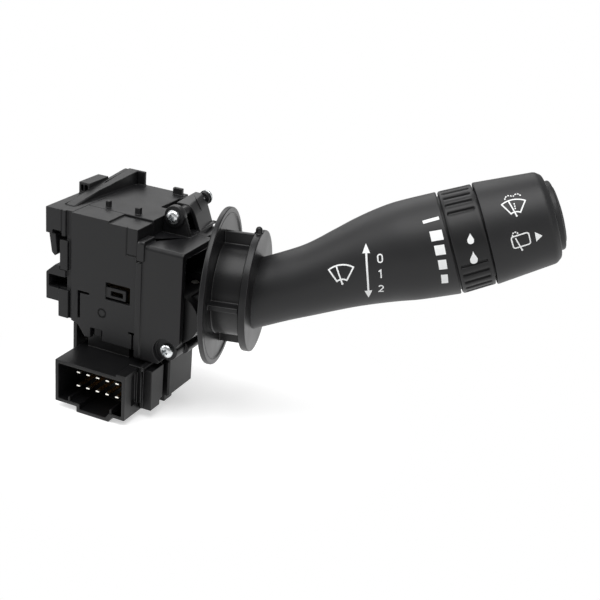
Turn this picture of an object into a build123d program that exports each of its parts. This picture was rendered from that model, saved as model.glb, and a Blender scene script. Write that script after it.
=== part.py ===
from build123d import *
from math import atan2, cos, degrees, radians, sin
import os

# Combination stalk switch for a steering column. Millimetres, +Z up.
# The origin is on the flat seat on top of the switch case. +X is the side that
# the stalk leaves, -Y faces the driver.

os.makedirs("parts", exist_ok=True)

# ---------------------------------------------------------------- driving sizes

# Switch case
case_left = -8.0            # left face of the case
case_right = 18.3           # right face of the case
front_face = -20.0          # driver side of the front cover
cover_seam = -10.0          # joint plane between the front cover and the rear case
case_back = 22.9            # back face of the case
case_bottom = -47.0
cover_step = 0.7            # top of the front cover below the seat
panel_bottom = -44.8        # lower edge of the front panel
wall = 2.0                  # general moulding wall
joint_gap = 0.1             # gap between mouldings that slide past each other

# Guide frame on the left of the case
guide_left = -18.5
guide_bottom = -40.0
rail_knee_height = 2.2
rail_end_height = 5.0

# Lever housing
tower_left = case_right
tower_right = 35.8
tower_top = -5.5
tower_bottom = -47.5
tower_back = 1.0
tower_wall = 2.4
tower_edge_radius = 1.6
cover_right = 33.3          # the back cover stops short of the collar's upward swing

# Lever attitude: the stalk climbs by lever_rise and leans back by lever_yaw
pivot_x = 32.0
pivot_y = -11.83
pivot_z = -29.93
lever_rise = 22.75
lever_yaw = 21.54

# Rocker and its trunnions
drum_radius = 9.0
drum_front = -17.1
drum_back = -1.3
trunnion_radius = 2.5
trunnion_length = 1.6
running_gap = 0.05          # radial clearance of a turning fit
arm_reach = 19.0            # rocker arm pin from the select axis
flick_up = 5.0              # degrees the stalk flicks up for one wipe
select_step = 7.0           # degrees from one wiper position to the next
arm_y = -5.0
arm_pin_radius = 1.4
tongue_width = 7.0
tongue_height = 10.4
tongue_gap = 0.5
pin_radius = 1.5
pull_swing = 8.0            # degrees of pull toward the driver

# Stalk, stations measured along the lever axis from the select pivot
core_radius = 9.0
stem_radius = 6.5
stem_bore = 3.2
core_start = 13.8
neck_seat_end = 36.3
grip_end = 93.2
grip_bore_start = grip_end - 13.6
stem_end = grip_bore_start + 4.4
grip_rebate_start = grip_end - 4.2
ring_start = grip_end + 0.5
ring_end = ring_start + 11.1
sleeve_start = ring_end + 0.6
sleeve_end = sleeve_start + 23.2
button_end = sleeve_end + 3.2
grip_wall = 2.2
grip_sections = [           # station, outer radius, rise of the centre
    (20.0, 11.4, 0.0),
    (neck_seat_end, 11.5, 0.0),
    (45.7, 12.0, 0.0),
    (57.2, 13.4, 0.7),
    (65.0, 14.7, 1.2),
    (72.7, 15.9, 1.3),
    (grip_bore_start, 16.8, 1.0),
    (grip_end, 17.4, 0.1),
]
carrier_radius = 14.5       # journal that the sensitivity ring turns on
carrier_small_radius = 12.5
carrier_end = sleeve_end - 10.6
ring_outer_start = 17.4
ring_outer_end = 17.0
ring_running_gap = 0.08
sleeve_radius_start = 17.3
sleeve_radius_end = 15.5
sleeve_round = 3.6
button_radius = 11.7
button_gap = 0.3
button_travel = 2.5
button_stem_radius = 3.0
button_flange_radius = 12.9
grip_rebate_radius = 16.2
ring_flange_seat = ring_start + 0.2   # shoulder of the carrier that keeps the ring on
groove_width = 1.5
groove_depth = 0.7
groove_margin = 1.4
groove_pitch = 11.5
window_start = 56.0         # smooth window of the ring, degrees from the top
window_end = 108.0
switch_seat = carrier_end - 14.0
switch_radius = 5.0
switch_height = 4.0
spring_seat = switch_seat + 7.0
spring_radius = 4.6

# Spool collar behind the grip
spool_rise = 0.4
spool_yaw = 13.5
spool_center = (54.2, -1.9, -19.5)
small_disc_radius = 20.8
small_disc_thickness = 2.5
hub_radius = 16.0
hub_wall = 2.0
large_disc_radius = 27.1
large_disc_thickness = 1.8
large_disc_rim = 2.0
disc_spacing = 12.0
web_thickness = 1.8
rear_hub_radius = 11.5
rear_hub_length = 3.4
gusset_radius = 19.0
nub_radius = 1.15

# Connector
socket_left = -5.5
socket_right = 22.8
socket_top = -49.4
socket_bottom = -65.4
socket_front = -32.7
socket_wall = 1.3
socket_floor = -19.6        # bottom of the socket cavity
key_left = 4.6
key_right = 16.6
key_taper = 1.4             # key narrows by this much on its right side
key_depth = 2.1
pin_pitch = 3.95
pin_columns = 5
first_pin_x = 1.4
upper_row_z = -54.3
lower_row_z = -59.5
pin_width = 1.5
pin_thickness = 0.7
pin_tip_y = -28.7

# Contact board
board_thickness = 1.6
board_front = -9.0
board_left = -5.5
board_right = 15.8
board_foot_right = 19.4
board_top = -5.0
board_bottom = -62.6
strip_thickness = 0.25

# Detent
plunger_y = -3.9
plunger_radius = 1.65
detent_radius = 9.8         # face of the detent plate from the select axis
detent_height = 3.6
plunger_well_start = 2.4
plunger_start = 5.6

# Screws
screw_head_radius = 2.6
screw_head_height = 1.9
screw_shank_radius = 1.3
upper_screw = (23.2, -5.0, 1.0)
lower_screw = (30.3, -18.2, -42.1)
boss_radius = 3.8
rear_screw = (22.6, 2.0)    # X and Z of the screw from behind
hood_back = 16.5
rear_lug_thickness = 1.5

# ------------------------------------------------------------- shared geometry

pivot_point = (pivot_x, pivot_y, pivot_z)
rise = radians(lever_rise)
yaw = radians(lever_yaw)
lever_direction = (cos(rise) * cos(yaw), sin(yaw), sin(rise) * cos(yaw))
lever_up = (-sin(rise), 0, cos(rise))
lever_plane = Plane(origin=pivot_point, x_dir=lever_up, z_dir=lever_direction)
rocker_plane = Plane(origin=pivot_point, x_dir=(cos(rise), 0, sin(rise)), z_dir=lever_up)

spool_tilt = radians(spool_rise)
spool_turn = radians(spool_yaw)
spool_axis = (cos(spool_tilt) * cos(spool_turn), cos(spool_tilt) * sin(spool_turn), sin(spool_tilt))
spool_up = (-sin(spool_tilt) * cos(spool_turn), -sin(spool_tilt) * sin(spool_turn), cos(spool_tilt))
spool_plane = Plane(origin=spool_center, x_dir=spool_up, z_dir=spool_axis)


def block(x0, x1, y0, y1, z0, z1):
    """Rectangular block between two values on each axis."""
    return Pos((x0 + x1) / 2, (y0 + y1) / 2, (z0 + z1) / 2) * Box(x1 - x0, y1 - y0, z1 - z0)


def rod(start, end, radius):
    """Round bar between two points."""
    run = Vector(*end) - Vector(*start)
    return extrude(Plane(origin=start, z_dir=run) * Circle(radius), run.length)


def rod_y(x, z, y0, y1, radius):
    """Round bar along Y."""
    return rod((x, y0, z), (x, y1, z), radius)


def turned(outline):
    """Solid of revolution about Z from (radius, station) points."""
    return revolve(Plane.XZ * make_face(Polyline(*outline, close=True)), Axis.Z)


def tube(outer, inner, start, end):
    """Hollow cylinder about Z."""
    return Pos(0, 0, (start + end) / 2) * (Cylinder(outer, end - start) - Cylinder(inner, end - start))


def profile_along_y(points, y0, y1):
    """Prism of an XZ outline from y0 to y1."""
    face = Plane.XZ * make_face(Polyline(*points, close=True))
    return Pos(0, y1, 0) * extrude(face, y1 - y0)


def profile_along_x(points, x0, x1):
    """Prism of a YZ outline from x0 to x1."""
    face = Plane.YZ * make_face(Polyline(*points, close=True))
    return Pos(x0, 0, 0) * extrude(face, x1 - x0)


def profile_along_z(points, z0, z1):
    """Prism of an XY outline from z0 to z1."""
    face = make_face(Polyline(*points, close=True))
    return Pos(0, 0, z0) * extrude(face, z1 - z0)


def on_lever(shape):
    """Place a shape drawn about the lever axis."""
    return lever_plane.location * shape


def on_plunger(shape):
    """Place a shape drawn about the detent plunger, which points up from the select axis."""
    return Pos(pivot_x, plunger_y, pivot_z) * shape


def on_spool(shape):
    """Place a shape drawn about the spool axis."""
    return spool_plane.location * shape


def save(name, shape):
    """Write one piece as its own STEP file."""
    shape.label = name
    export_step(shape, "parts/" + name + ".step")


# --------------------------------------------------------------- switch case

def front_cover():
    """Cover on the driver's side, with a snap window and the seams of its latches."""
    depth = 0.4
    skin = front_face + depth
    block_left = 13.9
    block_bottom = -10.6
    shell = block(case_left, case_right, front_face, cover_seam, panel_bottom, 0)
    shell -= block(7.0, case_right, front_face, cover_seam, -cover_step, 0)
    shell -= block(case_left + wall, case_right - wall, front_face + wall, cover_seam,
                   panel_bottom, -cover_step - wall)
    corner = profile_along_y([(case_left, panel_bottom), (case_left, guide_bottom),
                              (-5.1, guide_bottom - 0.8), (-2.2, panel_bottom)],
                             front_face, cover_seam)
    latch_window = block(6.2, 15.9, front_face, front_face + wall, -28.6, -22.2)
    latch = block(6.2, 14.0, front_face + 0.5, front_face + wall, -27.9, -24.0)
    latch -= block(8.0, 12.8, front_face, front_face + wall, -27.0, -25.2)
    foot_notch = block(0.2, 5.1, front_face, front_face + wall, panel_bottom, -40.8)
    foot = block(1.1, 4.2, front_face + 1.0, front_face + wall, -44.0, -40.8)
    slot_side = block(-5.2, -4.3, front_face, front_face + wall, -38.3, -27.9)
    slot_top = block(-5.2, -0.5, front_face, front_face + wall, -28.7, -27.9)
    seam_side = block(block_left, block_left + depth, front_face, skin, block_bottom, 0)
    seam_foot = block(block_left, case_right, front_face, skin, block_bottom, block_bottom + 0.5)
    tee_bar = block(15.7, case_right, front_face, front_face + wall, -39.2, -38.5)
    tee_stem = block(17.0, 17.6, front_face, front_face + wall, panel_bottom, -38.5)
    ejector = rod_y(4.8, -34.1, front_face, front_face + 0.15, 1.6)
    ejector -= rod_y(4.8, -34.1, front_face, front_face + 0.15, 1.35)
    shell = shell - corner - latch_window - foot_notch - slot_side - slot_top
    shell = shell - seam_side - seam_foot - tee_bar - tee_stem - ejector
    return shell + latch + foot


def arm_window():
    """Opening that the rocker arm reaches through."""
    return block(case_right - wall - 1, tower_left + tower_wall + 1, arm_y - 2.2, arm_y + 2.2,
                 pivot_z - 5.0, pivot_z + 7.0)


def rear_case():
    step_y = 4.0
    step_x = 13.0
    outline = [(case_left, cover_seam), (case_right, cover_seam), (case_right, step_y),
               (step_x, step_y), (step_x, case_back), (case_left, case_back)]
    inner = [(case_left + wall, cover_seam), (case_right - wall, cover_seam),
             (case_right - wall, step_y - wall), (step_x - wall, step_y - wall),
             (step_x - wall, case_back - wall), (case_left + wall, case_back - wall)]
    shell = profile_along_z(outline, case_bottom, 0)
    shell -= profile_along_z(inner, case_bottom + wall, -wall)
    shell -= arm_window()
    shell -= block(board_left, board_right, cover_seam, board_front + board_thickness,
                   case_bottom, case_bottom + wall)
    shell += block(case_left, -6.4, -18.5, cover_seam + wall, -52.0, guide_bottom - 1.2)
    for x0, x1 in ((-2.2, -0.6), (9.6, 11.6)):
        shell += block(x0, x1, -8.2, -6.4, 0, 2.3)
    shell += block(8.2, 12.0, 19.6, 21.2, 0, 2.4)
    shell += block(case_left, -4.9, case_back - 1.3, case_back, 0, rail_end_height)
    screw_x, screw_z = rear_screw
    lug_back = hood_back + rear_lug_thickness
    lug = profile_along_y([(step_x, -6.0), (step_x, 0), (screw_x - 1.0, screw_z + 1.6),
                           (screw_x + 1.8, screw_z), (screw_x, -6.0)], hood_back, lug_back)
    lug += rod_y(screw_x, screw_z, hood_back, lug_back, 2.2)
    lug -= rod_y(screw_x, screw_z, hood_back, lug_back, screw_shank_radius)
    return shell + lug


def guide_frame():
    """Side frame that slides onto the column, with a rising rail along its top."""
    inner = -10.4
    web = block(inner, case_left, front_face + 1, case_back - 3, guide_bottom, 0)
    top_arm = block(guide_left, inner, front_face, 11.6, -9.4, 0)
    top_arm -= block(-15.8, -12.0, front_face, front_face + 3, -9.4, -7.8)
    top_arm -= block(-12.2, -11.8, front_face, front_face + 0.4, -7.8, 0)
    lower_arm = block(guide_left, inner, front_face, 8.0, -34.1, -29.2)
    ledge = profile_along_y([(guide_left, -24.0), (-14.5, -20.4), (inner, -20.4),
                             (inner, -24.6), (guide_left, -24.6)], front_face, 8.0)
    lip = block(guide_left, -17.3, front_face, 8.0, -29.2, -24.6)
    hook = profile_along_y([(-17.6, -9.4), (-14.9, -9.4), (-14.2, -16.5), (-15.2, -17.6),
                            (-16.5, -16.4)], front_face + 0.6, 6.0)
    column = block(-12.6, inner + 1.0, front_face - 0.2, front_face + 1.5, -21.8, -10.8)
    plate = block(-13.1, inner + 1.4, front_face - 0.4, front_face + 1.5, -39.6, -29.1)
    strip = block(-12.8, inner, front_face + 1, 8.0, guide_bottom, -34.0)
    tip_x = -12.6
    rail = profile_along_x([(-14.3, 0), (0, rail_knee_height), (0, 0)], tip_x, -10.2)
    knee = make_face(Polyline((tip_x, 0), (-10.2, 0), (-10.2, rail_knee_height),
                              (tip_x, rail_knee_height), close=True))
    end = make_face(Polyline((-12.6, 0), (-9.8, 0), (case_left, rail_end_height),
                             (-12.4, rail_end_height), close=True))
    rear = loft([Plane.XZ * knee, Pos(0, case_back, 0) * (Plane.XZ * end)], ruled=True)
    rail_bed = block(-14.0, inner + 0.2, 11.6, case_back, -3.0, 0)
    latch_block = block(guide_left, -14.0, -0.5, 11.6, 0, 4.1)
    latch_block -= block(guide_left + 1.0, -16.6, -0.5, 9.0, 0.8, 3.2)
    latch_block -= block(-16.0, -14.8, -0.5, 9.0, 0.8, 3.2)
    frame = web + top_arm + lower_arm + ledge + lip + hook + column + plate + strip
    return frame + rail + rear + rail_bed + latch_block


# ------------------------------------------------------------- lever housing

def lever_housing():
    left, right = tower_left, tower_right
    outer = profile_along_y([(left, tower_bottom), (left, tower_top), (right, tower_top),
                             (right, tower_bottom + 9.5), (27.5, tower_bottom)],
                            front_face, tower_back)
    top_front = outer.edges().filter_by(Axis.X).group_by(Axis.Z)[-1].sort_by(Axis.Y)[0]
    outer = fillet(top_front, tower_edge_radius)
    cavity = profile_along_y([(left + tower_wall, -43.0), (left + tower_wall, tower_top - tower_wall),
                              (right + 1, tower_top - tower_wall), (right + 1, -36.0),
                              (28.0, -43.0)], front_face + tower_wall, tower_back)
    shell = outer - cavity
    screw_x, screw_y, screw_z = upper_screw
    boss = rod_y(screw_x, screw_z, screw_y, tower_back, boss_radius)
    skirt = profile_along_y([(screw_x - boss_radius, screw_z), (screw_x + boss_radius, screw_z),
                             (screw_x + 6.0, tower_top), (screw_x - 4.9, tower_top)],
                            screw_y + 0.8, tower_back)
    low_x, low_y, low_z = lower_screw
    low_boss = rod_y(low_x, low_z, low_y, tower_back, boss_radius)
    side_boss = rod_y(low_x + 2.6, low_z - 0.6, low_y + 6.0, tower_back, 2.3)
    shell += boss + skirt + low_boss + side_boss
    shell -= rod_y(low_x, low_z, front_face - 1, low_y, boss_radius + 0.8)
    for x, z in ((screw_x, screw_z), (low_x, low_z)):
        shell -= rod_y(x, z, front_face, tower_back, screw_shank_radius)
    shell -= rod_y(pivot_x, pivot_z, front_face + tower_wall, tower_back, drum_radius + 0.6)
    shell -= rod_y(pivot_x, pivot_z, drum_front - trunnion_length - 0.1, drum_front + 1,
                   trunnion_radius + running_gap)
    column = block(left, left + 2.2, front_face - 0.6, front_face, -47.0, -12.0)
    strap = block(left + 0.3, left + 3.0, front_face - 0.7, front_face + 6.5, -11.2, -4.1)
    strap = fillet(strap.edges().filter_by(Axis.X).group_by(Axis.Z)[-1].sort_by(Axis.Y)[0], 1.2)
    return shell - arm_window() + column + strap


def pivot_cover():
    """Back plate of the lever housing with the upper hood."""
    plate_back = tower_back + 2.6
    post_middle = (tower_back + hood_back) / 2
    plate = profile_along_y([(tower_left, tower_bottom + 2), (tower_left, tower_top),
                             (cover_right, tower_top), (cover_right, tower_bottom + 7.6),
                             (28.0, tower_bottom + 2)], tower_back, plate_back)
    low_x, _, low_z = lower_screw
    plate += rod_y(low_x, low_z, tower_back, plate_back + 3.0, boss_radius - 0.6)
    plate -= rod_y(low_x, low_z, tower_back, plate_back + 3.0, screw_shank_radius)
    plate -= rod_y(pivot_x, pivot_z, tower_back, tower_back + 2.0, trunnion_radius + running_gap)
    left, top = tower_left + 1.0, 3.9
    outer = [(left, tower_top), (left, top), (24.8, top), (28.6, tower_top)]
    inner = [(left + wall, tower_top), (left + wall, top - wall),
             (23.6, top - wall), (26.4, tower_top)]
    hood = profile_along_y(outer, tower_back, hood_back)
    hood -= profile_along_y(inner, tower_back, hood_back - wall)
    screw_x, _, screw_z = upper_screw
    rear_x, rear_z = rear_screw
    hood += rod_y(screw_x, screw_z, tower_back, post_middle, 2.4)
    hood += rod_y(rear_x, rear_z, post_middle, hood_back, 2.4)
    hood -= rod_y(screw_x, screw_z, tower_back, post_middle - 0.5, screw_shank_radius)
    hood -= rod_y(rear_x, rear_z, post_middle + 0.5, hood_back, screw_shank_radius)
    return plate + hood


def pan_screw(x, z, face, tip, head_side):
    """Screw along Y with its head on head_side (-1 or +1) of face."""
    top = face + head_side * screw_head_height
    head = rod_y(x, z, face, top, screw_head_radius)
    rim = head.edges().sort_by(Axis.Y)[0 if head_side < 0 else -1]
    return chamfer(rim, 0.8) + rod_y(x, z, face, tip, screw_shank_radius)


def housing_screws():
    """Two screws from the driver's side and one from behind."""
    up_x, up_y, up_z = upper_screw
    low_x, low_y, low_z = lower_screw
    post_middle = (tower_back + hood_back) / 2
    rear_x, rear_z = rear_screw
    lug_back = hood_back + rear_lug_thickness
    return Compound(children=[
        pan_screw(up_x, up_z, up_y, post_middle - 1.0, -1),
        pan_screw(low_x, low_z, low_y, tower_back + 5.0, -1),
        pan_screw(rear_x, rear_z, lug_back, post_middle + 1.0, 1),
    ])


# ----------------------------------------------------------------- connector

def pin_positions():
    return [first_pin_x + column * pin_pitch for column in range(pin_columns)]


def pin_bar(x, z, y0, y1):
    """Flat bar of pin section along Y."""
    return block(x - pin_width / 2, x + pin_width / 2, y0, y1,
                 z - pin_thickness / 2, z + pin_thickness / 2)


def connector_shell():
    """Socket with a keyway along its foot."""
    left, right = socket_left + socket_wall, socket_right - socket_wall
    foot, roof = socket_bottom + socket_wall, socket_top - socket_wall
    key_bottom = socket_bottom - key_depth
    key_outline = [(key_left - socket_wall, key_bottom), (key_left - socket_wall, socket_bottom),
                   (key_right + socket_wall, socket_bottom),
                   (key_right - key_taper + socket_wall, key_bottom)]
    key_space = [(key_left, key_bottom + socket_wall), (key_left, foot), (key_right, foot),
                 (key_right - key_taper, key_bottom + socket_wall)]
    body = block(socket_left, socket_right, socket_front, board_front, socket_bottom, socket_top)
    body += profile_along_y(key_outline, socket_front, socket_floor + 2)
    body -= block(left, right, socket_front, socket_floor, foot, roof)
    body -= profile_along_y(key_space, socket_front, socket_floor)
    raised = block(19.1, socket_right, socket_front, socket_front + 10.0, socket_top, socket_top + 1.0)
    neck = block(board_left + 3.0, board_right - 1.0, front_face + wall + 0.6, board_front,
                 socket_top, panel_bottom + 3.0)
    body += raised + neck
    for z in (upper_row_z, lower_row_z):
        for x in pin_positions():
            body -= pin_bar(x, z, socket_floor, board_front)
    return body


def terminals(row_z):
    """One row of flat pins that run from the socket through the board."""
    tail = board_front + board_thickness + 1.0
    return Compound(children=[pin_bar(x, row_z, pin_tip_y, tail) for x in pin_positions()])


def contact_board():
    board = block(board_left, board_right, board_front, board_front + board_thickness,
                  board_bottom, board_top)
    board += block(board_right, board_foot_right, board_front, board_front + board_thickness,
                   board_bottom, socket_top)
    for z in (upper_row_z, lower_row_z):
        for x in pin_positions():
            board -= pin_bar(x, z, board_front, board_front + board_thickness)
    return board


def fixed_contacts():
    """Three brass tracks on the back of the board."""
    back = board_front + board_thickness
    first = pivot_x - arm_reach - 3.8
    return Compound(children=[
        block(first + track * 1.9, first + track * 1.9 + 1.1, back, back + strip_thickness,
              pivot_z - 7.0, pivot_z + 10.0) for track in range(3)])


def terminal_cover():
    """Cover behind the board, stepped down the right side of the socket."""
    front = board_front + board_thickness
    back = 3.5
    right = 28.0
    bottom = -63.0
    top = tower_bottom - joint_gap
    cover = block(board_left, right, front, back, bottom, top)
    cover += block(board_left, case_right, front, back, top, case_bottom)
    cover -= block(board_left + wall, 21.0, front, back - wall, bottom + wall, socket_top)
    cover += block(socket_right + joint_gap, 26.8, -22.4, front, socket_bottom, -49.6)
    cover += block(23.6, right, -13.2, front, bottom, -49.6)
    cover += block(socket_right + joint_gap, 24.2, -24.7, -22.4, -61.6, -49.6)
    return cover


# ---------------------------------------------------------- rocker mechanism

def rocker():
    drum = rod_y(pivot_x, pivot_z, drum_front, drum_back, drum_radius)
    side = tongue_width / 2
    outline = [(-side - 0.7, -side - 0.6), (0, -side - 0.6), (drum_radius + 4, -1.2),
               (drum_radius + 4, 9.3), (0, side + 0.9), (-side - 0.7, side + 0.6)]
    half = tongue_height / 2 + tongue_gap
    slot = Pos(0, 0, -half) * extrude(make_face(Polyline(*outline, close=True)), 2 * half)
    drum -= rocker_plane.location * slot
    drum += rod_y(pivot_x, pivot_z, drum_front - trunnion_length, drum_front, trunnion_radius)
    drum += rod_y(pivot_x, pivot_z, drum_back, tower_back + 1.9, trunnion_radius)
    arm_x = pivot_x - arm_reach
    arm = block(arm_x, pivot_x - drum_radius + 1.5, arm_y - 1.3, arm_y + 1.3,
                pivot_z - 0.9, pivot_z + 0.9)
    arm += rod_y(arm_x, pivot_z, arm_y - 1.3, arm_y + 1.3, arm_pin_radius)
    well = plunger_well_start + drum_radius + 1
    drum -= on_plunger(Pos(0, 0, plunger_well_start + well / 2)
                       * Cylinder(plunger_radius + running_gap, well))
    return drum + arm - rocker_plane.location * Cylinder(pin_radius, 2 * drum_radius)


def detent_plunger():
    tip = detent_radius - 0.1 - plunger_radius
    body = Pos(0, 0, (plunger_start + tip) / 2) * Cylinder(plunger_radius, tip - plunger_start)
    return on_plunger(body + Pos(0, 0, tip) * Sphere(plunger_radius))


def detent_spring():
    return on_plunger(coil(1.15, 0.22, plunger_well_start, plunger_start, 3))


def detent_plate():
    """Seat with a notch for each wiper position, over the drum."""
    plate = block(tower_left + tower_wall, tower_right - 0.5, plunger_y - 2.6, plunger_y + 2.6,
                  pivot_z + detent_radius - 1.2, pivot_z + detent_radius + detent_height)
    plate -= rod_y(pivot_x, pivot_z, plunger_y - 3, plunger_y + 3, detent_radius)
    for step in (0, 1, 2):
        angle = radians(step * select_step)
        reach = detent_radius + 0.5
        plate -= rod_y(pivot_x + reach * sin(angle), pivot_z + reach * cos(angle),
                       plunger_y - 3, plunger_y + 3, 1.0)
    return plate


def pull_pin():
    return rocker_plane.location * Cylinder(pin_radius, 2 * drum_radius - 1.6)


def contact_slider():
    back = board_front + board_thickness
    arm_x = pivot_x - arm_reach
    front = back + strip_thickness + 0.05
    body = block(arm_x - 4.5, arm_x + 1.5, front, arm_y + 1.8, pivot_z - 4.0, pivot_z + 4.0)
    slot_half = arm_pin_radius + 0.12
    slot = block(arm_x - 2.2, arm_x + 2.0, arm_y - 1.6, arm_y + 3,
                 pivot_z - slot_half, pivot_z + slot_half)
    return body - slot


# --------------------------------------------------------------------- stalk

def axial(radius, start, end):
    """Cylinder about the lever axis between two stations."""
    return Pos(0, 0, (start + end) / 2) * Cylinder(radius, end - start)


def lever_core():
    tongue = Pos(0, 0, core_start / 2) * Box(tongue_height, tongue_width, core_start)
    core = tongue + Rot(0, 90, 0) * Cylinder(tongue_width / 2, tongue_height)
    core += axial(core_radius, core_start, neck_seat_end)
    core += axial(stem_radius, neck_seat_end, stem_end)
    core -= axial(stem_bore, core_start + 4, stem_end)
    core -= Rot(0, 90, 0) * Cylinder(pin_radius + running_gap, tongue_height)
    return on_lever(core)


def collar():
    """Two flanges on one hub, joined by four webs, on the neck of the stalk."""
    back = -disc_spacing
    hub_start = back - large_disc_thickness / 2
    large_face = back + large_disc_thickness / 2
    body = Cylinder(small_disc_radius, small_disc_thickness)
    body += Pos(0, 0, back) * Cylinder(large_disc_radius, large_disc_thickness)
    body -= Pos(0, 0, large_face) * Cylinder(large_disc_radius - large_disc_rim, 0.8)
    body += Pos(0, 0, hub_start / 2) * Cylinder(hub_radius, -hub_start)
    web_inner = hub_radius - 1
    web_outer = small_disc_radius - 0.6
    web = Pos((web_inner + web_outer) / 2, 0, back / 2) * Box(web_outer - web_inner,
                                                              web_thickness, disc_spacing)
    for quarter in range(4):
        body += Rot(0, 0, 90 * quarter) * web
    body += Pos(0, 0, hub_start - rear_hub_length / 2) * Cylinder(rear_hub_radius, rear_hub_length)
    gusset = make_face(Polyline((8, hub_start), (8, hub_start - rear_hub_length),
                                (rear_hub_radius, hub_start - rear_hub_length),
                                (gusset_radius, hub_start), close=True))
    gusset = Pos(0, web_thickness / 2, 0) * extrude(Plane.XZ * gusset, web_thickness)
    for quarter in range(1, 4):
        body += Rot(0, 0, 90 * quarter) * gusset
    hollow_start = hub_start + hub_wall
    hollow_end = -small_disc_thickness / 2
    hollow = Cylinder(hub_radius - hub_wall, hollow_end - hollow_start)
    body -= Pos(0, 0, (hollow_end + hollow_start) / 2) * hollow
    body -= Pos(0, 0, hub_start) * Cylinder(rear_hub_radius - hub_wall, 3 * rear_hub_length)
    nub_top = small_disc_radius + 1.1
    body += Pos(nub_top - 1.2, 0.4, 0) * Rot(0, 90, 0) * Cylinder(nub_radius, 2.4)
    body += Pos(nub_top, 0.4, 0) * Sphere(nub_radius)
    drum_space = rod_y(pivot_x, pivot_z, drum_front - 2, drum_back + 1.4, drum_radius + 0.7)
    return on_spool(body) - on_lever(axial(core_radius, 0, 60)) - drum_space


def grip():
    outer = loft([Plane(origin=(lift, 0, s)) * Circle(r) for s, r, lift in grip_sections])
    inner = loft([Plane(origin=(lift, 0, s)) * Circle(r - grip_wall)
                  for s, r, lift in grip_sections[1:-1]])
    shell = outer - inner - axial(core_radius, 0, neck_seat_end)
    shell -= axial(carrier_small_radius, grip_bore_start, grip_end)
    shell -= axial(grip_rebate_radius, grip_rebate_start, grip_end)
    disc_face = small_disc_thickness / 2
    behind = Pos(0, 0, disc_face - 20) * Box(90, 90, 40)
    return on_lever(shell) - on_spool(behind)


def head_carrier():
    """Core of the stalk's head: seat of the ring, the sleeve and the button."""
    body = axial(carrier_small_radius, grip_bore_start, ring_flange_seat)
    body += axial(carrier_radius, ring_flange_seat, carrier_end)
    body -= axial(stem_radius, grip_bore_start, stem_end)
    body -= axial(stem_bore, stem_end, switch_seat)
    body -= axial(switch_radius, switch_seat, switch_seat + switch_height)
    body -= axial(button_stem_radius + running_gap, switch_seat + switch_height, spring_seat)
    body -= axial(spring_radius + 0.9, spring_seat, carrier_end)
    return on_lever(body)


def sensitivity_ring():
    """Knurled thumb ring with one smooth window that faces the driver."""
    bore = carrier_radius + ring_running_gap
    flange_bore = carrier_small_radius + 0.3
    flange_start = ring_start - 2.7
    skirt = grip_rebate_radius - 0.3
    ring = turned([(flange_bore, flange_start), (skirt, flange_start), (skirt, ring_start),
                   (ring_outer_start, ring_start), (ring_outer_end, ring_end), (bore, ring_end),
                   (bore, ring_flange_seat - 0.3), (flange_bore, ring_flange_seat - 0.3)])
    middle = (ring_start + ring_end) / 2
    groove = Pos(ring_outer_start, 0, middle) * Box(2 * groove_depth + 0.4, groove_width,
                                                    ring_end - ring_start - 2 * groove_margin)
    angle = window_end
    while angle < 360 + window_start:
        ring -= Rot(0, 0, angle) * groove
        angle += groove_pitch
    return on_lever(ring)


def ring_board():
    """Annular contact board in the mouth of the grip."""
    outline = tube(grip_rebate_radius, carrier_small_radius, grip_rebate_start,
                   grip_rebate_start + 1.3)
    return on_lever(outline)


def ring_contact():
    """Two spring wipers on the flange of the ring."""
    start = ring_start - 2.7
    arc = tube(carrier_small_radius + 2.6, carrier_small_radius + 1.0, start - 0.35, start)
    arc -= Pos(0, 0, start) * Box(60, 14, 4)
    return on_lever(arc)


def end_sleeve():
    radius_end = button_radius + button_gap
    lip_start = sleeve_end - 2.8
    outline = [(carrier_radius, sleeve_start), (sleeve_radius_start, sleeve_start),
               (sleeve_radius_end, sleeve_end - sleeve_round),
               (sleeve_radius_end - 1.0, sleeve_end - 1.1), (radius_end, sleeve_end),
               (radius_end, lip_start), (button_flange_radius + 0.3, lip_start),
               (button_flange_radius + 0.3, carrier_end), (carrier_radius, carrier_end)]
    return on_lever(turned(outline))


def end_button():
    flange_end = sleeve_end - 3.1
    flange_start = flange_end - 2.0
    cap = axial(button_radius, flange_start, button_end - 1.4)
    cap += axial(button_flange_radius, flange_start, flange_end)
    cap -= axial(button_radius - 1.8, flange_start, button_end - 3.6)
    cap += axial(button_stem_radius, switch_seat + switch_height + button_travel + 0.1,
                 button_end - 3.6)
    dome_rise = 1.4
    dome_radius = (button_radius ** 2 + dome_rise ** 2) / (2 * dome_rise)
    dome = Pos(0, 0, button_end - dome_radius) * Sphere(dome_radius)
    dome = dome & axial(button_radius, button_end - 1.4, button_end + 1)
    return on_lever(cap + dome)


def coil(radius, wire, start, end, turns):
    """Compression spring about Z, of square wire."""
    height = end - start - 2 * wire
    path = Pos(0, 0, start + wire) * Helix(height / turns, height, radius)
    section = Plane(origin=path @ 0, z_dir=path % 0) * RegularPolygon(wire, 4)
    return sweep(section, path)


def button_spring():
    return on_lever(coil(spring_radius, 0.45, spring_seat, button_end - 3.6, 4))


def button_switch():
    return on_lever(axial(switch_radius, switch_seat, switch_seat + switch_height - 0.4)
                    + axial(1.6, switch_seat, switch_seat + switch_height))


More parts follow.
